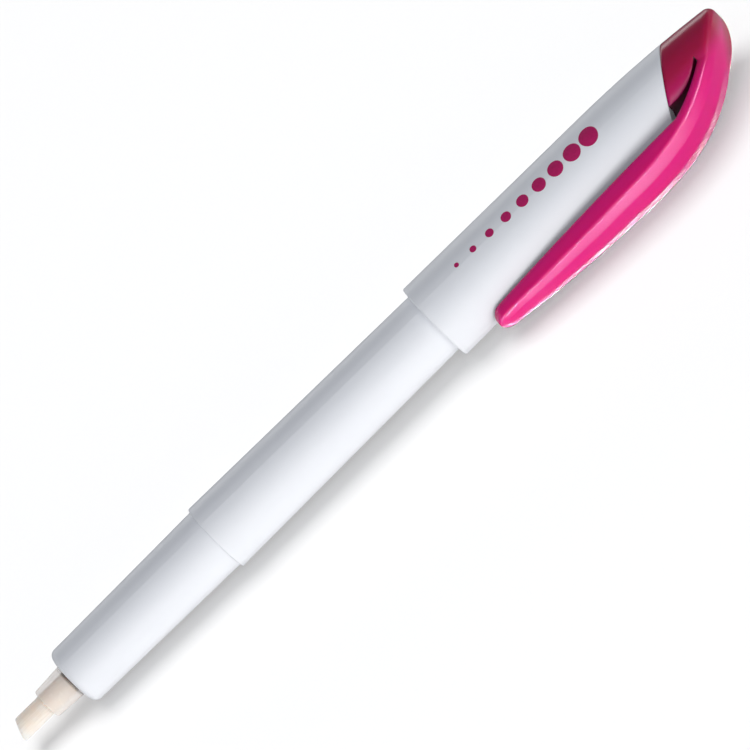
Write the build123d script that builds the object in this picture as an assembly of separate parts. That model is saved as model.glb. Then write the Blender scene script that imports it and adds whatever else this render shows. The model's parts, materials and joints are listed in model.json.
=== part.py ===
from build123d import *
from math import acos, asin, atan, atan2, cos, degrees, hypot, radians, sin, sqrt, tan
import os

# Felt-tip eraser pen lying on a table, with its cap pushed onto the rear of the barrel.
# The pieces are drawn in the pen's own frame, in millimetres. +X runs along the pen from the nib to the cap,
# zero is the front shoulder of the barrel, and +Z points to the side where the clip is.
# The cap's pieces are drawn from the cap's mouth, and moved to where the cap sits on the barrel.

# Barrel
BARREL_LENGTH = 74.9
BARREL_FRONT_RADIUS = 5.84
BARREL_REAR_RADIUS = 5.05
BARREL_WALL = 1.2
BARREL_END_WALL = 1.4
BARREL_SHOULDER_ROUND = 0.15
BARREL_REAR_ROUND = 0.8

# Front section
SECTION_LENGTH = 29.9
SECTION_NOSE_RADIUS = 5.0
SECTION_REAR_RADIUS = 5.35
SECTION_NOSE_ROUND = 1.15
SECTION_NOSE_WALL = 5.0
SECTION_RECESS_RADIUS = 3.3
SECTION_RECESS_DEPTH = 0.9
SPIGOT_LENGTH = 8.0

# Nozzle
NOZZLE_REACH = 5.35
NOZZLE_TIP_RADIUS = 2.52
NOZZLE_STEM_RADIUS = 2.85
NOZZLE_TIP_ROUND = 0.25
NOZZLE_FLANGE_RADIUS = 3.65
NOZZLE_FLANGE_THICKNESS = 1.2

# Nib
NIB_RADIUS = 1.77
NIB_REACH = 6.15
NIB_SLANT_DEG = 20.0
NIB_TURN_DEG = 30.0
NIB_EDGE_ROUND = 0.3
NIB_FEED_LENGTH = 8.0

# Reservoir
RESERVOIR_RADIUS = 3.75
RESERVOIR_LENGTH = 72.0

# Cap
CAP_LENGTH = 61.5
CAP_MOUTH_RADIUS = 6.71
CAP_MOUTH_ROUND = 0.25
CAP_FLANK_LENGTH = 24.9
CAP_TAPER_END_RADIUS = 6.5
CAP_END_RADIUS = 5.0
CAP_END_ROUND = 1.2

# Slanted rear end of the cap's tube, by its distance from the cap's end
SLANT_CLIP_SIDE_TO_END = 16.7
SLANT_AXIS_TO_END = 11.55
SLANT_FAR_SIDE_TO_END = 8.3

# Inner cap
INNER_CAP_BORE_RADIUS = 3.15
INNER_CAP_END_WALL = 1.0
INNER_CAP_NIB_ROOM = 0.35

# Clip, seen from the side: a long low arc that turns down over the head
CLIP_TIP_PLACE = 6.8
CLIP_PEAK_TO_END = 30.5
CLIP_PEAK_HEIGHT = 9.62
CLIP_PEAK_RISE = 0.86
CLIP_SHOULDER_TO_END = 22.9
CLIP_SHOULDER_RADIUS = 28.5
CLIP_SHOULDER_TURN_DEG = 68.0
CLIP_TIP_GAP = 0.12
CLIP_GAP = 0.4
CLIP_ROOT_THICKNESS = 1.2
CLIP_ROOT_TO_END = 2.9

# Lead-in under the clip's tip
CLIP_LEAD_LENGTH = 1.8
CLIP_LEAD_RADIUS = 3.0
CLIP_LEAD_TURN_DEG = 60.0

# Clip, seen from above: a round tip that widens to the head
CLIP_TIP_RADIUS = 2.33
CLIP_ROOT_HALF_WIDTH = 5.0
CLIP_WIDEST_TO_END = 7.6
CLIP_ROOT_END_HALF_WIDTH = 3.2

# Clip, in section: a flat back between two bevels, which fade out on the head
CLIP_FLAT_SHARE = 0.42
CLIP_BEVEL_DEG = 13.0
CLIP_EDGE_ROUND = 0.3
HEAD_EDGE_ROUND = 0.95
BACK_STATIONS = 6
SHOULDER_STATIONS = 6
BEVEL_FADE_START_SHARE = 0.3
BEVEL_FADE_END_SHARE = 0.7

# Slot between the clip's root and the head
SLOT_FLOOR_HEIGHT = 4.36
SLOT_BEND_TO_END = 13.4
SLOT_BEND_RADIUS = 9.5
SLOT_BOTTOM_TO_END = 6.8

# Fits
FIT = 0.02
RESERVOIR_CLEARANCE = 0.1
POST_CLEARANCE = 0.06
POST_END_GAP = 0.58
SEAL_GAP = 0.15
PARTING_GAP = 0.06

# Room by which a cutting shape reaches past what it cuts, and the play when an edge is looked up by its place
OVERRUN = 6.0
MATCH = 0.001

# Places that follow from the sizes above
NOSE_PLACE = -SECTION_LENGTH
FLANGE_PLACE = NOSE_PLACE + SECTION_NOSE_WALL
RESERVOIR_PLACE = FLANGE_PLACE + NOZZLE_FLANGE_THICKNESS
NIB_TIP_PLACE = NOSE_PLACE - NOZZLE_REACH - NIB_REACH
NIB_END_PLACE = RESERVOIR_PLACE + NIB_FEED_LENGTH
INNER_CAP_PLACE = SECTION_LENGTH + SEAL_GAP
INNER_CAP_LENGTH = NOZZLE_REACH + NIB_REACH + INNER_CAP_NIB_ROOM + INNER_CAP_END_WALL
PLUG_PLACE = INNER_CAP_PLACE + INNER_CAP_LENGTH
POSTED_DEPTH = INNER_CAP_PLACE - POST_END_GAP
CAP_PLACE = BARREL_LENGTH - POSTED_DEPTH
CAP_TAPER_LENGTH = CAP_LENGTH - CAP_FLANK_LENGTH
SLANT_CLIP_SIDE = CAP_LENGTH - SLANT_CLIP_SIDE_TO_END
SLANT_AXIS = CAP_LENGTH - SLANT_AXIS_TO_END
SLANT_FAR_SIDE = CAP_LENGTH - SLANT_FAR_SIDE_TO_END
CLIP_TIP_CENTRE = CLIP_TIP_PLACE + CLIP_TIP_RADIUS
CLIP_TIP_UNDERSIDE = CAP_MOUTH_RADIUS + CLIP_TIP_GAP
CLIP_PEAK_PLACE = CAP_LENGTH - CLIP_PEAK_TO_END
CLIP_SHOULDER_PLACE = CAP_LENGTH - CLIP_SHOULDER_TO_END
CLIP_WIDEST_PLACE = CAP_LENGTH - CLIP_WIDEST_TO_END
CLIP_ROOT_END = CAP_LENGTH - CLIP_ROOT_TO_END
CLIP_UNDERSIDE = CAP_TAPER_END_RADIUS + CLIP_GAP
SLOT_BEND_PLACE = CAP_LENGTH - SLOT_BEND_TO_END
SLOT_BOTTOM = CAP_LENGTH - SLOT_BOTTOM_TO_END


# Solid of revolution about the pen's axis, from an outline of places along it and radii
def turned(*outline):
    return revolve(make_face(Polyline(*outline, close=True)), Axis.X)


# Rounds the circular edge of this radius at this place along the axis
def round_rim(solid, place, radius, size):
    def is_rim(edge):
        return abs(edge.arc_center.X - place) < MATCH and abs(edge.radius - radius) < MATCH

    return fillet(solid.edges().filter_by(GeomType.CIRCLE).filter_by(is_rim), size)


# Slab across the whole pen, from an outline in the plane of the axis and the clip
def side_slab(outline):
    return extrude(Plane.XZ * make_face(outline), CAP_MOUTH_RADIUS + OVERRUN, both=True)


# Radius of the barrel's outside, which also sets the taper of everything that fits in or over it
def barrel_radius(place):
    return BARREL_FRONT_RADIUS - (BARREL_FRONT_RADIUS - BARREL_REAR_RADIUS) * place / BARREL_LENGTH


# Radius of the barrel's bore
def barrel_bore_radius(place):
    return barrel_radius(place) - BARREL_WALL


# Radius of the cap's bore, measured from the cap's mouth
def cap_bore_radius(place):
    return barrel_radius(CAP_PLACE + place) + POST_CLEARANCE


# Round solid that fits the cap's bore from one place to another
def cap_filling(start, end, clearance):
    return turned(
        (start, 0),
        (start, cap_bore_radius(start) - clearance),
        (end, cap_bore_radius(end) - clearance),
        (end, 0),
    )


# Tapered tube, closed at the rear
def make_barrel():
    outside = turned(
        (0, 0), (0, BARREL_FRONT_RADIUS), (BARREL_LENGTH, BARREL_REAR_RADIUS), (BARREL_LENGTH, 0)
    )
    outside = round_rim(outside, 0, BARREL_FRONT_RADIUS, BARREL_SHOULDER_ROUND)
    outside = round_rim(outside, BARREL_LENGTH, BARREL_REAR_RADIUS, BARREL_REAR_ROUND)
    bore_end = BARREL_LENGTH - BARREL_END_WALL
    bore = turned((0, 0), (0, barrel_bore_radius(0)), (bore_end, barrel_bore_radius(bore_end)), (bore_end, 0))
    return outside - bore


# Grip with a thick nose, and a spigot that is pressed into the barrel
def make_front_section():
    outside = turned(
        (NOSE_PLACE, 0),
        (NOSE_PLACE, SECTION_NOSE_RADIUS),
        (0, SECTION_REAR_RADIUS),
        (0, barrel_bore_radius(0) - FIT),
        (SPIGOT_LENGTH, barrel_bore_radius(SPIGOT_LENGTH) - FIT),
        (SPIGOT_LENGTH, 0),
    )
    outside = round_rim(outside, NOSE_PLACE, SECTION_NOSE_RADIUS, SECTION_NOSE_ROUND)
    recess_end = NOSE_PLACE + SECTION_RECESS_DEPTH
    stem_hole = NOZZLE_STEM_RADIUS + FIT
    reservoir_bore = RESERVOIR_RADIUS + RESERVOIR_CLEARANCE
    hollow = turned(
        (NOSE_PLACE, 0),
        (NOSE_PLACE, SECTION_RECESS_RADIUS),
        (recess_end, SECTION_RECESS_RADIUS),
        (recess_end, stem_hole),
        (FLANGE_PLACE, stem_hole),
        (FLANGE_PLACE, reservoir_bore),
        (SPIGOT_LENGTH, reservoir_bore),
        (SPIGOT_LENGTH, 0),
    )
    return outside - hollow


# Clear nose with a stem through the front section and a flange behind its nose
def make_nozzle():
    tip_place = NOSE_PLACE - NOZZLE_REACH
    outside = turned(
        (tip_place, 0),
        (tip_place, NOZZLE_TIP_RADIUS),
        (NOSE_PLACE, NOZZLE_STEM_RADIUS),
        (FLANGE_PLACE, NOZZLE_STEM_RADIUS),
        (FLANGE_PLACE, NOZZLE_FLANGE_RADIUS),
        (RESERVOIR_PLACE, NOZZLE_FLANGE_RADIUS),
        (RESERVOIR_PLACE, 0),
    )
    outside = round_rim(outside, tip_place, NOZZLE_TIP_RADIUS, NOZZLE_TIP_ROUND)
    hole = NIB_RADIUS + FIT
    return outside - turned((tip_place, 0), (tip_place, hole), (RESERVOIR_PLACE, hole), (RESERVOIR_PLACE, 0))


# Fibre rod with a slanted working end
def make_nib():
    rod = turned(
        (NIB_TIP_PLACE, 0), (NIB_TIP_PLACE, NIB_RADIUS), (NIB_END_PLACE, NIB_RADIUS), (NIB_END_PLACE, 0)
    )
    slant = Plane((NIB_TIP_PLACE, 0, NIB_RADIUS), z_dir=(1, 0, 0)).rotated((0, -NIB_SLANT_DEG, 0))
    rod = split(rod, slant, Keep.TOP)
    working_edge = rod.faces().sort_by(Axis.X)[0].edges()
    return Rot(X=NIB_TURN_DEG) * fillet(working_edge, NIB_EDGE_ROUND)


# Fibre rod that holds the fluid, with a hole for the nib
def make_reservoir():
    end = RESERVOIR_PLACE + RESERVOIR_LENGTH
    rod = turned((RESERVOIR_PLACE, 0), (RESERVOIR_PLACE, RESERVOIR_RADIUS), (end, RESERVOIR_RADIUS), (end, 0))
    hole = NIB_RADIUS + FIT
    nib_seat = turned(
        (RESERVOIR_PLACE, 0), (RESERVOIR_PLACE, hole), (NIB_END_PLACE, hole), (NIB_END_PLACE, 0)
    )
    return rod - nib_seat


# Outside of the whole cap without its clip: a taper, a flank that bends in, and a rounded end
def cap_outside():
    taper = Line((0, CAP_MOUTH_RADIUS), (CAP_TAPER_LENGTH, CAP_TAPER_END_RADIUS))
    flank = TangentArc(taper @ 1, (CAP_LENGTH - CAP_END_ROUND, CAP_END_RADIUS), tangent=taper % 1)
    end = TangentArc(flank @ 1, (CAP_LENGTH, CAP_END_RADIUS - CAP_END_ROUND), tangent=flank % 1)
    closing = Polyline(end @ 1, (CAP_LENGTH, 0), (0, 0), taper @ 0)
    solid = revolve(make_face([taper, flank, end, closing]), Axis.X)
    return round_rim(solid, 0, CAP_MOUTH_RADIUS, CAP_MOUTH_ROUND)


# Everything behind the slanted end of the cap's tube
def behind_slant():
    slant = ThreePointArc(
        (SLANT_CLIP_SIDE, CAP_MOUTH_RADIUS), (SLANT_AXIS, 0), (SLANT_FAR_SIDE, -CAP_MOUTH_RADIUS)
    )
    back = CAP_LENGTH + OVERRUN
    closing = Polyline(slant @ 1, (back, -CAP_MOUTH_RADIUS), (back, CAP_MOUTH_RADIUS), slant @ 0)
    return side_slab([slant, closing])


# Tapered tube with a slanted rear end
def make_cap_tube():
    return cap_outside() - behind_slant() - cap_filling(0, CAP_LENGTH, 0)


# Cup that closes round the nozzle when the cap is on the front of the pen
def make_inner_cap():
    cup = cap_filling(INNER_CAP_PLACE, PLUG_PLACE, FIT)
    hole_end = PLUG_PLACE - INNER_CAP_END_WALL
    hole = turned(
        (INNER_CAP_PLACE, 0),
        (INNER_CAP_PLACE, INNER_CAP_BORE_RADIUS),
        (hole_end, INNER_CAP_BORE_RADIUS),
        (hole_end, 0),
    )
    return cup - hole


# Side edge of the clip's back, seen from the side: the long arc from the tip, and the shoulder over the head
def clip_edge_line():
    run = CLIP_PEAK_PLACE - CLIP_TIP_CENTRE
    radius = (run**2 + CLIP_PEAK_RISE**2) / (2 * CLIP_PEAK_RISE)
    rise_deg = degrees(asin(run / radius))
    fall_deg = degrees(asin((CLIP_SHOULDER_PLACE - CLIP_PEAK_PLACE) / radius))
    centre = (CLIP_PEAK_PLACE, CLIP_PEAK_HEIGHT - radius)
    back = CenterArc(centre, radius, 90 + rise_deg, -rise_deg - fall_deg)
    shoulder = JernArc(back @ 1, back % 1, CLIP_SHOULDER_RADIUS, -CLIP_SHOULDER_TURN_DEG)
    return back, shoulder


# Where the round tip runs into the clip's sides seen from above, its half width there, and the sides' radius
def clip_flare():
    run = CLIP_WIDEST_PLACE - CLIP_TIP_CENTRE
    widening = CLIP_ROOT_HALF_WIDTH - CLIP_TIP_RADIUS
    radius = (run**2 + CLIP_ROOT_HALF_WIDTH**2 - CLIP_TIP_RADIUS**2) / (2 * widening)
    flare = asin(run / (radius - CLIP_TIP_RADIUS))
    return CLIP_TIP_CENTRE - CLIP_TIP_RADIUS * sin(flare), CLIP_TIP_RADIUS * cos(flare), radius


# Half of the clip's width at a place behind its tip
def clip_half_width(place):
    radius = clip_flare()[2]
    before = max(CLIP_WIDEST_PLACE - place, 0)
    return CLIP_ROOT_HALF_WIDTH - radius + sqrt(radius**2 - before**2)


# Plane across the clip's edge line at this point of it
def station_plane(point, tangent):
    return Plane((point.X, 0, point.Y), x_dir=(0, 1, 0), z_dir=(tangent.X, 0, tangent.Y))


# Section of the clip's back across this point of its edge line, reaching far down, with bevels of this angle
def roof_section(point, tangent, bevel_deg):
    half_width = clip_half_width(point.X)
    flat = CLIP_FLAT_SHARE * half_width
    slope = tan(radians(bevel_deg))
    reach = CAP_MOUTH_RADIUS + OVERRUN
    side = (half_width - reach) * slope
    depth = -CAP_MOUTH_RADIUS - CLIP_PEAK_HEIGHT - OVERRUN
    top = (half_width - flat) * slope
    outline = Polyline(
        (-reach, depth), (-reach, side), (-flat, top), (flat, top), (reach, side), (reach, depth), close=True
    )
    return station_plane(point, tangent) * make_face(outline)


# Everything under the clip's back: the bevels wrap round the tip and fade out on the head
def under_back():
    back, shoulder = clip_edge_line()
    sections = []
    for station in range(BACK_STATIONS):
        share = station / BACK_STATIONS
        sections.append(roof_section(back @ share, back % share, CLIP_BEVEL_DEG))
    for station in range(SHOULDER_STATIONS):
        share = station / (SHOULDER_STATIONS - 1)
        fade = (BEVEL_FADE_END_SHARE - share) / (BEVEL_FADE_END_SHARE - BEVEL_FADE_START_SHARE)
        bevel_deg = CLIP_BEVEL_DEG * min(max(fade, 0), 1)
        sections.append(roof_section(shoulder @ share, shoulder % share, bevel_deg))
    tip_plane = station_plane(back @ 0, back % 0)
    half_section = split(sections[0], Plane(tip_plane.origin, z_dir=tip_plane.x_dir), Keep.TOP)
    tip = revolve(half_section, Axis(tip_plane.origin, tip_plane.y_dir), 180)
    return loft(sections) + tip


# Clip's arm seen from above, as a tall solid
def arm_from_above():
    start, start_half_width, radius = clip_flare()
    side = TangentArc(
        (CLIP_WIDEST_PLACE, CLIP_ROOT_HALF_WIDTH), (start, start_half_width), tangent=(-1, 0)
    )
    tip = ThreePointArc((start, start_half_width), (CLIP_TIP_PLACE, 0), (start, -start_half_width))
    other_side = mirror(side, Plane.XZ)
    root = TangentArc(
        (CLIP_WIDEST_PLACE, CLIP_ROOT_HALF_WIDTH), (CLIP_ROOT_END, CLIP_ROOT_END_HALF_WIDTH), tangent=(1, 0)
    )
    other_root = mirror(root, Plane.XZ)
    end = Line(root @ 1, other_root @ 1)
    outline = make_face([side, tip, other_side, root, other_root, end])
    return extrude(outline, CLIP_PEAK_HEIGHT + OVERRUN, both=True)


# Underside of the clip's shoulder, parallel to its back, from the straight underside to the slot's bottom
def shoulder_underside():
    centre = clip_edge_line()[1].arc_center
    radius = CLIP_SHOULDER_RADIUS - CLIP_ROOT_THICKNESS
    rise = CLIP_UNDERSIDE - centre.Y
    run = sqrt(radius**2 - rise**2)
    end_rise = sqrt(radius**2 - (SLOT_BOTTOM - centre.X) ** 2)
    start = (centre.X + run, CLIP_UNDERSIDE)
    return TangentArc(start, (SLOT_BOTTOM, centre.Y + end_rise), tangent=(rise, -run))


# Clip's arm seen from the side: the lead-in, the straight underside and the underside of the shoulder
def arm_from_side():
    lead_start = (CLIP_TIP_PLACE + CLIP_LEAD_LENGTH, CLIP_TIP_UNDERSIDE)
    lead = JernArc(lead_start, (-1, 0), CLIP_LEAD_RADIUS, -CLIP_LEAD_TURN_DEG)
    shoulder = shoulder_underside()
    underside = Line(lead @ 0, shoulder @ 0)
    top = CLIP_PEAK_HEIGHT + OVERRUN
    closing = Polyline(
        shoulder @ 1, (CLIP_ROOT_END, 0), (CLIP_ROOT_END, top), ((lead @ 1).X, top), lead @ 1
    )
    return side_slab([lead, underside, shoulder, closing])


# Slot between the clip's shoulder and the rounded top of the head
def head_slot():
    shoulder = shoulder_underside()
    end_rise = sqrt(SLOT_BEND_RADIUS**2 - (SLOT_BOTTOM - SLOT_BEND_PLACE) ** 2)
    floor = Line((SLANT_CLIP_SIDE, SLOT_FLOOR_HEIGHT), (SLOT_BEND_PLACE, SLOT_FLOOR_HEIGHT))
    floor_end = (SLOT_BOTTOM, SLOT_FLOOR_HEIGHT - SLOT_BEND_RADIUS + end_rise)
    bend = TangentArc(floor @ 1, floor_end, tangent=floor % 1)
    end = Line(bend @ 1, shoulder @ 1)
    opening = Polyline(
        shoulder @ 0,
        ((shoulder @ 0).X, CAP_TAPER_END_RADIUS),
        (SLANT_CLIP_SIDE, CAP_TAPER_END_RADIUS),
        floor @ 0,
    )
    return side_slab([floor, bend, end, shoulder, opening])


# Arm of the clip with the edges of its back rounded
def make_arm(roof):
    block = arm_from_side() & arm_from_above()
    arm = block & roof
    back_edges = new_edges(block, roof, combined=arm).filter_by_position(Axis.X, 0, CLIP_ROOT_END - MATCH)
    return fillet(back_edges, CLIP_EDGE_ROUND)


# Head at the cap's end, with the edges where its sides meet the clip's back well rounded
def make_head(roof):
    block = cap_outside() & (Pos(X=PARTING_GAP) * behind_slant())
    head = block & roof
    side_edges = new_edges(block, roof, combined=head).filter_by_position(
        Axis.X, SLOT_BOTTOM, CAP_LENGTH - CAP_END_ROUND
    )
    return fillet(side_edges, HEAD_EDGE_ROUND)


# Plug, head and pocket clip, moulded as one piece, with room for the inner cap where it reaches into the head
def make_clip():
    roof = under_back()
    plug = cap_filling(PLUG_PLACE, SLOT_BOTTOM, FIT) & roof
    body = make_head(roof) - cap_filling(0, PLUG_PLACE, 0) + plug
    return body - head_slot() + make_arm(roof)


# Lays the pen down as it comes to rest: on the barrel's shoulder, the cap's mouth and the clip's shoulder
def resting():
    tilt = atan((CAP_MOUTH_RADIUS - BARREL_FRONT_RADIUS) / CAP_PLACE)
    axis_height = CAP_MOUTH_RADIUS + CLIP_SHOULDER_PLACE * tan(tilt)
    bevel = radians(CLIP_BEVEL_DEG)
    round_side = clip_half_width(CLIP_SHOULDER_PLACE) - CLIP_EDGE_ROUND
    round_height = (clip_edge_line()[1] @ 0).Y + CLIP_EDGE_ROUND * (tan(bevel) - 1 / cos(bevel))
    round_angle = acos((axis_height - CLIP_EDGE_ROUND) / hypot(round_side, round_height))
    clip_angle = round_angle + atan2(round_side, round_height)
    return Rot(Y=-degrees(tilt)) * Rot(X=180 - degrees(clip_angle))


pen_pieces = {
    "barrel": make_barrel(),
    "front_section": make_front_section(),
    "nozzle": make_nozzle(),
    "nib": make_nib(),
    "reservoir": make_reservoir(),
}
cap_pieces = {
    "cap_tube": make_cap_tube(),
    "inner_cap": make_inner_cap(),
    "clip": make_clip(),
}

# The origin is on the table, under the middle of the pen
laid = {name: resting() * piece for name, piece in pen_pieces.items()}
laid.update({name: resting() * Pos(X=CAP_PLACE) * piece for name, piece in cap_pieces.items()})
box = Compound(list(laid.values())).bounding_box()
to_origin = Pos(-box.center().X, -box.center().Y, -box.min.Z)

os.makedirs("parts", exist_ok=True)
for name, piece in laid.items():
    export_step(to_origin * piece, f"parts/{name}.step")
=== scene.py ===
import bpy
import json
import math
from mathutils import Matrix, Vector


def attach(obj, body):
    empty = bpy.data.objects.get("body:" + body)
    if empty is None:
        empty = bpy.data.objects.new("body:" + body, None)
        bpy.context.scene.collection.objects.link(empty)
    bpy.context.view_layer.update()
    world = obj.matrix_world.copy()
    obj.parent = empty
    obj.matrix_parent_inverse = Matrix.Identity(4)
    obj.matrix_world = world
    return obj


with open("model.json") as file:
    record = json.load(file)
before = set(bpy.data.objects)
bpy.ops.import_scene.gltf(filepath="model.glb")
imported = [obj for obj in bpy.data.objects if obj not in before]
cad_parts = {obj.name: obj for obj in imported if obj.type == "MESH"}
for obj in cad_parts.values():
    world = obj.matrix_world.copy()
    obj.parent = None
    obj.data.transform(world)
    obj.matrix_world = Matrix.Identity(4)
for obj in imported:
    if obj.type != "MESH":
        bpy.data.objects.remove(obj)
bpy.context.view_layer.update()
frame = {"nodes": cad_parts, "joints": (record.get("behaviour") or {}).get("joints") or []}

MM = 0.001

# The pen's own frame, as it lies on the table: along it from the nib, towards the clip,
# and the side between them
PEN_ORIGIN = Vector((-32.8381, 1.92, 5.8387)) * MM
ALONG = Vector(frame["joints"][0]["axis"]).normalized()
TO_CLIP = Vector((0.006177, -0.946538, -0.322533))
TO_CLIP = (TO_CLIP - ALONG * TO_CLIP.dot(ALONG)).normalized()
TO_SIDE = TO_CLIP.cross(ALONG)

# Camera: far away, 60 degrees round the pen from the clip, with the cap's end a little nearer than the nib
CAMERA_DISTANCE = 1.33
CAMERA_ROUND_DEG = 60.0
CAMERA_LEAN_DEG = 3.7
CAMERA_ROLL_DEG = 44.58
VIEW_WIDTH = 110.6 * MM
VIEW_PLACE = 33.69 * MM
VIEW_ASIDE = -0.62 * MM
SENSOR_WIDTH = 36.0
NEAREST_SEEN = 0.01

# Places along the pen
NOSE_PLACE = -29.9 * MM
CAP_PLACE = 45.43 * MM

# Painted shade: a dark ring on the nozzle, by its distance in front of the nose
RING_FRONT = 0.8 * MM
RING_BACK = 0.2 * MM

# Where the clip's painted shade goes from flanks to roof: distance towards the clip less distance aside
FLANK_TONE_PLACE = -4.5 * MM
ROOF_TONE_PLACE = 1.0 * MM

# Outside of the cap's tube, from its mouth
CAP_MOUTH_RADIUS = 6.71 * MM
CAP_TAPER_END_RADIUS = 6.5 * MM
CAP_TAPER_LENGTH = 36.6 * MM
CAP_TAPER = (CAP_MOUTH_RADIUS - CAP_TAPER_END_RADIUS) / CAP_TAPER_LENGTH

# Print on the cap: a row of dots that shrink towards the cap's mouth
DOT_COUNT = 9
DOT_ROW_START = 8.5 * MM
DOT_ROW_LENGTH = 27.0 * MM
DOT_FIRST_RADIUS = 0.4 * MM
DOT_LAST_RADIUS = 1.6 * MM
DOT_ROUND_DEG = 94.0
DOT_CORNERS = 40
DOT_CUTS = 2
INK_LIFT = 0.012 * MM

# Range that a noise's values mostly keep to
NOISE_LOW = 0.3
NOISE_HIGH = 0.7

# Table top
FLOOR_HALF_WIDTH = 1.5
FLOOR_GLOW = 0.36

# Points that the lamps are aimed at; the last lies past the cap's end
FLOOR_MIDDLE = (0.0, 0.0, 0.0)
PEN_MIDDLE = (0.0, 0.0, 0.006)
CLIP_MIDDLE = (0.03, 0.0, 0.006)
PAST_CAP_END = (0.1, 0.0, 0.006)


# sRGB hex colour as linear red, green, blue and alpha
def colour(text):
    shares = [int(text[place:place + 2], 16) / 255 for place in (1, 3, 5)]
    linear = [share / 12.92 if share <= 0.04045 else ((share + 0.055) / 1.055) ** 2.4 for share in shares]
    return linear + [1.0]


# Sets a node's inputs to values, or links them to the sockets that feed them, by name or by number
def feed(tree, node, inputs):
    for name, value in inputs.items():
        if isinstance(value, bpy.types.NodeSocket):
            tree.links.new(value, node.inputs[name])
        else:
            node.inputs[name].default_value = value


# Adds a node with its inputs and settings
def add_node(tree, kind, inputs=None, **settings):
    node = tree.nodes.new(kind)
    for name, value in settings.items():
        setattr(node, name, value)
    feed(tree, node, inputs or {})
    return node


# Result of a calculation on numbers
def calculate(tree, operation, *terms):
    node = add_node(tree, "ShaderNodeMath", dict(enumerate(terms)), operation=operation)
    return node.outputs["Value"]


# Noise with lumps of about this size
def noise(tree, place, size, detail, roughness=0.5):
    inputs = {"Vector": place, "Scale": 1 / size, "Detail": detail, "Roughness": roughness}
    return add_node(tree, "ShaderNodeTexNoise", inputs).outputs["Fac"]


# Roughness that a noise varies between two values
def varied(tree, value, low, high):
    inputs = {"Value": value, "From Min": NOISE_LOW, "From Max": NOISE_HIGH, "To Min": low, "To Max": high}
    return add_node(tree, "ShaderNodeMapRange", inputs).outputs["Result"]


# Colour that goes from one tone to another as a value goes from start to end
def ramp(tree, value, start, start_text, end, end_text):
    node = add_node(tree, "ShaderNodeValToRGB", {"Fac": value})
    first, last = node.color_ramp.elements
    first.position, first.color = start, colour(start_text)
    last.position, last.color = end, colour(end_text)
    return node.outputs["Color"]


# Mix of two colours: the first where the factor is 0, the second where it is 1
def mix(tree, factor, first, second):
    inputs = {"Factor": factor, 6: first, 7: second}
    return add_node(tree, "ShaderNodeMix", inputs, data_type="RGBA").outputs[2]


# New material with an empty tree, its shader and its output
def start_material(name):
    material = bpy.data.materials.new(name)
    material.use_nodes = True
    tree = material.node_tree
    tree.nodes.clear()
    shader = add_node(tree, "ShaderNodeBsdfPrincipled")
    add_node(tree, "ShaderNodeOutputMaterial", {"Surface": shader.outputs["BSDF"]})
    return material, tree, shader


# Object coordinates in the pen's own frame, with x along the pen from the barrel's front shoulder
def pen_coordinates(tree):
    turn = Matrix((ALONG, TO_SIDE, TO_CLIP))
    place = add_node(tree, "ShaderNodeTexCoord").outputs["Object"]
    settings = {"Vector": place, "Rotation": turn.to_euler(), "Location": turn @ -PEN_ORIGIN}
    return add_node(tree, "ShaderNodeMapping", settings).outputs["Vector"]


# Coordinates that are drawn out along the pen, for streaks
def drawn_out(tree, place, share):
    settings = {"Vector": place, "Scale": (share, 1.0, 1.0)}
    return add_node(tree, "ShaderNodeMapping", settings).outputs["Vector"]


# Injection-moulded white polypropylene: satin, faintly uneven in gloss, with a soft skin from the etched
# mould
def white_polypropylene():
    material, tree, shader = start_material("white_polypropylene")
    skin_size = 0.55 * MM
    skin_depth = 0.02 * MM
    flow_size = 9.0 * MM
    place = pen_coordinates(tree)
    skin = noise(tree, place, skin_size, 2.0)
    flow = noise(tree, drawn_out(tree, place, 0.25), flow_size, 3.0)
    bump = add_node(tree, "ShaderNodeBump", {"Height": skin, "Strength": 0.12, "Distance": skin_depth})
    feed(tree, shader, {
        "Base Color": ramp(tree, flow, NOISE_LOW, "#ebedf1", NOISE_HIGH, "#eff1f4"),
        "Roughness": varied(tree, flow, 0.36, 0.46),
        "Normal": bump.outputs["Normal"],
        "IOR": 1.49,
    })
    return material
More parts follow.
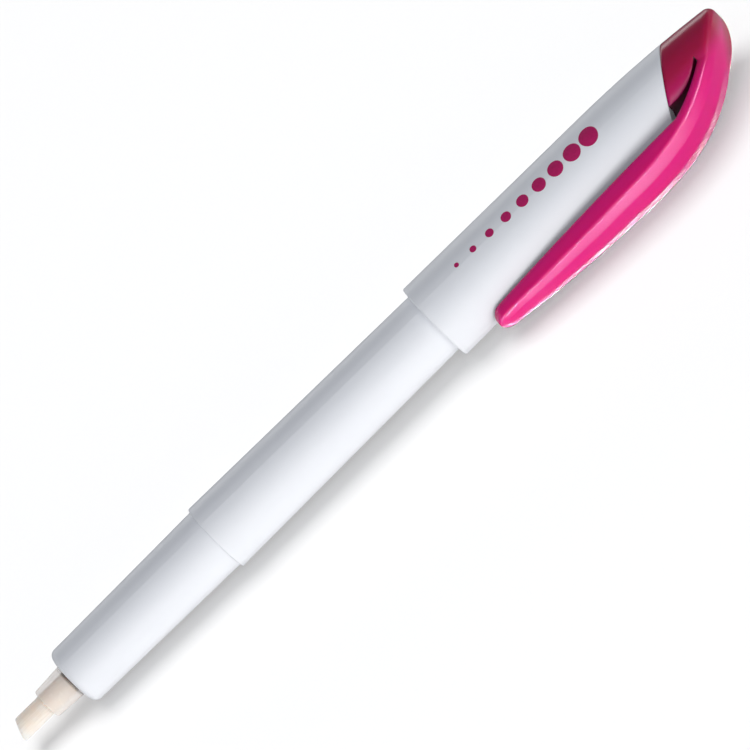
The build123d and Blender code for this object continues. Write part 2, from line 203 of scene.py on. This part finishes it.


# Injection-moulded magenta ABS from a polished mould: strong colour, clear gloss, slight orange peel.
# The head's flanks are painted darker and redder than its roof and the arm, as painted shade, and the colour
# is painted deepest in the slot and along the gap, as painted shade where little light gets in.
def magenta_abs():
    material, tree, shader = start_material("magenta_abs")
    peel_size = 1.6 * MM
    peel_depth = 0.02 * MM
    cloud_size = 7.0 * MM
    cloud_share = 0.12
    painted_shade_reach = 4.5 * MM
    edge_softness = 0.7 * MM
    place = pen_coordinates(tree)
    peel = noise(tree, place, peel_size, 1.0)
    cloud = noise(tree, place, cloud_size, 3.0)
    across = add_node(tree, "ShaderNodeSeparateXYZ", {"Vector": place}).outputs
    from_flank = calculate(tree, "SUBTRACT", across["Z"], calculate(tree, "ABSOLUTE", across["Y"]))
    # Painted shade: the flanks are coloured darker and redder than the roof, with a random cloud on top
    painted_flank_shade = add_node(
        tree,
        "ShaderNodeMapRange",
        {"Value": from_flank, "From Min": FLANK_TONE_PLACE, "From Max": ROOF_TONE_PLACE},
        interpolation_type="SMOOTHSTEP",
    )
    cloud_and_flank_shade = calculate(tree, "MULTIPLY_ADD", cloud, cloud_share, painted_flank_shade.outputs["Result"])
    tone = ramp(tree, cloud_and_flank_shade, cloud_share / 2, "#a80944", 1.0, "#d90b7a")
    # Painted shade: ambient occlusion darkens the colour to a deep crimson in the slot and along the gap
    openness = add_node(tree, "ShaderNodeAmbientOcclusion", {"Distance": painted_shade_reach}, samples=8)
    light_share = add_node(
        tree, "ShaderNodeMapRange", {"Value": openness.outputs["AO"], "From Min": 0.4, "From Max": 0.97}
    )
    soft_edges = add_node(tree, "ShaderNodeBevel", {"Radius": edge_softness}, samples=8)
    bump = add_node(
        tree,
        "ShaderNodeBump",
        {"Height": peel, "Strength": 0.08, "Distance": peel_depth, "Normal": soft_edges.outputs["Normal"]},
    )
    feed(tree, shader, {
        "Base Color": mix(tree, light_share.outputs["Result"], colour("#5a0428"), tone),
        "Roughness": varied(tree, cloud, 0.2, 0.27),
        "Normal": bump.outputs["Normal"],
        "IOR": 1.54,
        "Subsurface Weight": 0.6,
        "Subsurface Radius": (1.0, 0.15, 0.35),
        "Subsurface Scale": 3.0 * MM,
    })
    return material


# Natural polypropylene, moulded thin without pigment: milky, lets light through and shows the nib inside.
# The last half millimetre is painted dark, as painted shade for the shadowed recess that the clear stem goes
# into.
def natural_polypropylene():
    material, tree, shader = start_material("natural_polypropylene")
    haze_size = 1.2 * MM
    place = pen_coordinates(tree)
    haze = noise(tree, place, haze_size, 2.0)
    along = add_node(tree, "ShaderNodeSeparateXYZ", {"Vector": place}).outputs["X"]
    # Painted shade: the stem darkens to near black just in front of the nose
    painted_recess_shade = add_node(
        tree,
        "ShaderNodeMapRange",
        {"Value": along, "From Min": NOSE_PLACE - RING_FRONT, "From Max": NOSE_PLACE - RING_BACK},
        interpolation_type="SMOOTHSTEP",
    )
    feed(tree, shader, {
        "Base Color": ramp(tree, painted_recess_shade.outputs["Result"], 0.0, "#fff4ea", 1.0, "#1f1c1b"),
        "Roughness": varied(tree, haze, 0.2, 0.3),
        "Alpha": 0.38,
        "IOR": 1.49,
        "Subsurface Weight": 0.15,
        "Subsurface Radius": (1.0, 0.9, 0.8),
        "Subsurface Scale": 3.0 * MM,
    })
    return material


# Polyester fibre bonded into a rod and ground to shape: matt, with fine streaks along the fibres, and
# light soaks in
def bonded_fibre(name, dark, light, fibre_size):
    material, tree, shader = start_material(name)
    streak_depth = 0.06 * MM
    along_fibres = drawn_out(tree, pen_coordinates(tree), 0.08)
    streaks = noise(tree, along_fibres, fibre_size, 4.0, roughness=0.65)
    bump = add_node(tree, "ShaderNodeBump", {"Height": streaks, "Strength": 0.5, "Distance": streak_depth})
    feed(tree, shader, {
        "Base Color": ramp(tree, streaks, NOISE_LOW, dark, 0.66, light),
        "Normal": bump.outputs["Normal"],
        "Roughness": 0.9,
        "Sheen Weight": 0.6,
        "Subsurface Weight": 1.0,
        "Subsurface Radius": (1.0, 0.8, 0.65),
        "Subsurface Scale": 5.0 * MM,
    })
    return material


# Moulded low-density polyethylene: a soft, waxy, dull liner
def liner_polyethylene():
    material, tree, shader = start_material("liner_polyethylene")
    cloud_size = 2.5 * MM
    cloud = noise(tree, pen_coordinates(tree), cloud_size, 2.0)
    feed(tree, shader, {
        "Base Color": ramp(tree, cloud, 0.0, "#e6e6e1", 1.0, "#efefeb"),
        "Roughness": 0.55,
        "IOR": 1.51,
    })
    return material


# Pad-printed ink: a thin film, a little duller and darker than the clip, with a faint grain
def pad_printed_ink():
    material, tree, shader = start_material("pad_printed_ink")
    grain_size = 0.35 * MM
    grain = noise(tree, pen_coordinates(tree), grain_size, 2.0)
    feed(tree, shader, {
        "Base Color": ramp(tree, grain, NOISE_LOW, "#b3125c", NOISE_HIGH, "#c01765"),
        "Roughness": 0.45,
    })
    return material


white = white_polypropylene()
NODE_MATERIALS = {
    "barrel": white,
    "front_section": white,
    "cap_tube": white,
    "clip": magenta_abs(),
    "nozzle": natural_polypropylene(),
    "nib": bonded_fibre("nib_fibre", "#e8d6c9", "#f7e9de", 0.22 * MM),
    "reservoir": bonded_fibre("reservoir_fibre", "#e8e6e0", "#f4f3ef", 0.3 * MM),
    "inner_cap": liner_polyethylene(),
}
for node_name, node_material in NODE_MATERIALS.items():
    cad_object = frame["nodes"][node_name]
    cad_object.data.materials.clear()
    cad_object.data.materials.append(node_material)


# Vector times a number, in a tree
def scaled(tree, direction, length):
    inputs = {0: direction, "Scale": length}
    return add_node(tree, "ShaderNodeVectorMath", inputs, operation="SCALE").outputs["Vector"]


# Sum of two vectors, in a tree
def moved(tree, start, step):
    inputs = {0: start, 1: step}
    return add_node(tree, "ShaderNodeVectorMath", inputs, operation="ADD").outputs["Vector"]


# Tree that lays out a row of round dots, each larger than the one before, and wraps them round the cap's
# taper
def dot_row_tree(ink):
    tree = bpy.data.node_groups.new("dot_row", "GeometryNodeTree")
    tree.interface.new_socket("Geometry", in_out="OUTPUT", socket_type="NodeSocketGeometry")
    tree.interface.new_socket("Dot Count", in_out="INPUT", socket_type="NodeSocketInt")
    for name in ("Row Start", "Row Length", "First Radius", "Last Radius", "Cap Radius", "Round Angle"):
        tree.interface.new_socket(name, in_out="INPUT", socket_type="NodeSocketFloat")
    sizes = add_node(tree, "NodeGroupInput").outputs

    # The row, flat
    row_end = add_node(tree, "ShaderNodeCombineXYZ", {"X": sizes["Row Length"]})
    row = add_node(
        tree,
        "GeometryNodeMeshLine",
        {"Count": sizes["Dot Count"], "Offset": row_end.outputs["Vector"]},
        mode="END_POINTS",
    )
    radius = add_node(
        tree,
        "ShaderNodeMapRange",
        {
            "Value": add_node(tree, "GeometryNodeInputIndex").outputs["Index"],
            "From Max": calculate(tree, "SUBTRACT", sizes["Dot Count"], 1.0),
            "To Min": sizes["First Radius"],
            "To Max": sizes["Last Radius"],
        },
    )
    disc = add_node(
        tree, "GeometryNodeMeshCircle", {"Vertices": DOT_CORNERS, "Radius": 1.0}, fill_type="TRIANGLE_FAN"
    )
    fine_disc = add_node(
        tree, "GeometryNodeSubdivideMesh", {"Mesh": disc.outputs["Mesh"], "Level": DOT_CUTS}
    )
    dots = add_node(
        tree,
        "GeometryNodeInstanceOnPoints",
        {
            "Points": row.outputs["Mesh"],
            "Instance": fine_disc.outputs["Mesh"],
            "Scale": radius.outputs["Result"],
        },
    )
    flat = add_node(tree, "GeometryNodeRealizeInstances", {"Geometry": dots.outputs["Instances"]})

    # Each point's place along the cap, its distance from the axis and its angle round it
    position = add_node(tree, "GeometryNodeInputPosition").outputs["Position"]
    place = add_node(tree, "ShaderNodeSeparateXYZ", {"Vector": position}).outputs
    from_mouth = calculate(tree, "ADD", place["X"], sizes["Row Start"])
    reach = calculate(tree, "MULTIPLY_ADD", from_mouth, -CAP_TAPER, sizes["Cap Radius"])
    angle = calculate(tree, "ADD", calculate(tree, "DIVIDE", place["Y"], reach), sizes["Round Angle"])
    mouth_centre = PEN_ORIGIN + ALONG * CAP_PLACE
    target = moved(tree, scaled(tree, ALONG, from_mouth), mouth_centre)
    for direction, operation in ((TO_CLIP, "COSINE"), (TO_SIDE, "SINE")):
        length = calculate(tree, "MULTIPLY", calculate(tree, operation, angle), reach)
        target = moved(tree, target, scaled(tree, direction, length))
    wrapped = add_node(
        tree, "GeometryNodeSetPosition", {"Geometry": flat.outputs["Geometry"], "Position": target}
    )
    inked = add_node(
        tree, "GeometryNodeSetMaterial", {"Geometry": wrapped.outputs["Geometry"], "Material": ink}
    )
    add_node(tree, "NodeGroupOutput", {"Geometry": inked.outputs["Geometry"]})
    return tree


# Runs a tree with these inputs and keeps its result as a plain mesh
def make_from_tree(name, tree, sizes):
    piece = bpy.data.objects.new(name, bpy.data.meshes.new(name + "_start"))
    bpy.context.scene.collection.objects.link(piece)
    modifier = piece.modifiers.new(name, "NODES")
    modifier.node_group = tree
    for item in tree.interface.items_tree:
        if item.in_out == "INPUT":
            modifier[item.identifier] = sizes[item.name]
    depsgraph = bpy.context.evaluated_depsgraph_get()
    mesh = bpy.data.meshes.new_from_object(piece.evaluated_get(depsgraph), depsgraph=depsgraph)
    mesh.name = name
    piece.modifiers.remove(modifier)
    piece.data = mesh
    return piece


cap_print = make_from_tree(
    "cap_print",
    dot_row_tree(pad_printed_ink()),
    {
        "Dot Count": DOT_COUNT,
        "Row Start": DOT_ROW_START,
        "Row Length": DOT_ROW_LENGTH,
        "First Radius": DOT_FIRST_RADIUS,
        "Last Radius": DOT_LAST_RADIUS,
        "Cap Radius": CAP_MOUTH_RADIUS + INK_LIFT,
        "Round Angle": math.radians(DOT_ROUND_DEG),
    },
)
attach(cap_print, "cap")


# White paper floor under everything, which takes the pen's shadow. Where the camera sees it, it glows a
# little. It casts no shadow and shows in no highlight, so that the lamps under it reach the clip.
def make_floor():
    half = FLOOR_HALF_WIDTH
    corners = [(-half, -half, 0), (half, -half, 0), (half, half, 0), (-half, half, 0)]
    mesh = bpy.data.meshes.new("floor")
    mesh.from_pydata(corners, [], [(0, 1, 2, 3)])
    floor = bpy.data.objects.new("floor", mesh)
    bpy.context.scene.collection.objects.link(floor)
    material, tree, shader = start_material("floor_paper")
    grain_size = 0.4 * MM
    grain = noise(tree, pen_coordinates(tree), grain_size, 2.0)
    tone = ramp(tree, grain, 0.0, "#9c9c9c", 1.0, "#9f9f9f")
    seen = add_node(tree, "ShaderNodeLightPath").outputs["Is Camera Ray"]
    feed(tree, shader, {
        "Base Color": mix(tree, seen, colour("#c8c8c8"), tone),
        "Emission Color": colour("#ffffff"),
        "Emission Strength": calculate(tree, "MULTIPLY", seen, FLOOR_GLOW),
        "Roughness": 1.0,
        "Specular IOR Level": 0.0,
    })
    mesh.materials.append(material)
    floor.visible_shadow = False
    floor.visible_glossy = False
    return floor


# Grey studio all round, pale only near the horizon
def make_world():
    world = bpy.data.worlds.new("studio")
    bpy.context.scene.world = world
    world.use_nodes = True
    tree = world.node_tree
    tree.nodes.clear()
    direction = add_node(tree, "ShaderNodeTexCoord").outputs["Generated"]
    height = add_node(tree, "ShaderNodeSeparateXYZ", {"Vector": direction}).outputs["Z"]
    tone = ramp(tree, calculate(tree, "ABSOLUTE", height), 0.0, "#dcdde0", 0.2, "#74767a")
    background = add_node(tree, "ShaderNodeBackground", {"Color": tone, "Strength": 1.0})
    add_node(tree, "ShaderNodeOutputWorld", {"Surface": background.outputs["Background"]})


# Area lamp at a place, aimed at a point; power follows from the brightness of its face
def add_lamp(name, place, aim, width, height, brightness, tint):
    lamp = bpy.data.lights.new(name, "AREA")
    lamp.shape = "RECTANGLE"
    lamp.size = width
    lamp.size_y = height
    lamp.energy = brightness * math.pi * width * height
    lamp.color = colour(tint)[:3]
    holder = bpy.data.objects.new(name, lamp)
    holder.location = place
    holder.rotation_euler = (Vector(aim) - Vector(place)).to_track_quat("-Z", "Y").to_euler()
    bpy.context.scene.collection.objects.link(holder)
    return holder


# Lets a lamp light only one object
def light_only(lamp, lit):
    receivers = bpy.data.collections.new(lamp.name + "_only")
    receivers.objects.link(lit)
    lamp.light_linking.receiver_collection = receivers


# Lamps: place, aim, width, height, brightness and tint
floor = make_floor()
make_world()
add_lamp("front_softbox", (0.0, -0.55, 0.06), PEN_MIDDLE, 0.9, 0.42, 1.5, "#fffcf9")
add_lamp("rear_softbox", (0.0, 0.6, 0.12), PEN_MIDDLE, 0.9, 0.2, 1.75, "#ffffff")
upper = add_lamp("upper_softbox", (0.0, -0.36, 0.52), PEN_MIDDLE, 0.9, 0.3, 1.8, "#f5f8ff")
overhead = add_lamp("floor_softbox", (0.0, 0.12, 1.0), FLOOR_MIDDLE, 0.75, 0.7, 10.0, "#ffffff")
light_only(overhead, floor)

# Light that the table throws up at the clip's face, and two strips that show only as highlights on its bevels
bounce = add_lamp("clip_bounce", (0.0, -0.25, -0.3), CLIP_MIDDLE, 0.9, 0.3, 2.1, "#f6eaff")
left_strip = add_lamp("clip_left_strip", (0.1, -0.305, -0.256), PAST_CAP_END, 1.04, 0.08, 21.6, "#e2dcff")
right_strip = add_lamp("clip_right_strip", (-0.035, 0.09, -0.33), CLIP_MIDDLE, 0.68, 0.14, 4.0, "#f6e6f0")
for soft_lamp in (upper, bounce):
    soft_lamp.visible_glossy = False
for strip in (left_strip, right_strip):
    strip.visible_diffuse = False
    strip.data.cycles.use_multiple_importance_sampling = False
for clip_lamp in (bounce, left_strip, right_strip):
    light_only(clip_lamp, frame["nodes"]["clip"])


# Camera on the clip's side, rolled so that the pen lies across the picture from corner to corner
def add_camera():
    lean = math.radians(CAMERA_LEAN_DEG)
    round_angle = math.radians(CAMERA_ROUND_DEG)
    roll = math.radians(CAMERA_ROLL_DEG)
    square = TO_CLIP * math.cos(round_angle) + TO_SIDE * math.sin(round_angle)
    aside = ALONG.cross(square)
    towards = square * math.cos(lean) + ALONG * math.sin(lean)
    along_image = (ALONG - towards * math.sin(lean)).normalized()
    right = along_image * math.cos(roll) + aside * math.sin(roll)
    up = along_image * math.sin(roll) - aside * math.cos(roll)
    centre = PEN_ORIGIN + ALONG * VIEW_PLACE + aside * VIEW_ASIDE
    turn = Matrix((right, up, towards)).transposed().to_4x4()
    optics = bpy.data.cameras.new("camera")
    optics.sensor_width = SENSOR_WIDTH
    optics.lens = SENSOR_WIDTH * CAMERA_DISTANCE / VIEW_WIDTH
    optics.clip_start = NEAREST_SEEN
    camera = bpy.data.objects.new("camera", optics)
    camera.matrix_world = Matrix.Translation(centre + towards * CAMERA_DISTANCE) @ turn
    bpy.context.scene.collection.objects.link(camera)
    bpy.context.scene.camera = camera


add_camera()
bpy.context.scene.view_settings.view_transform = "Standard"
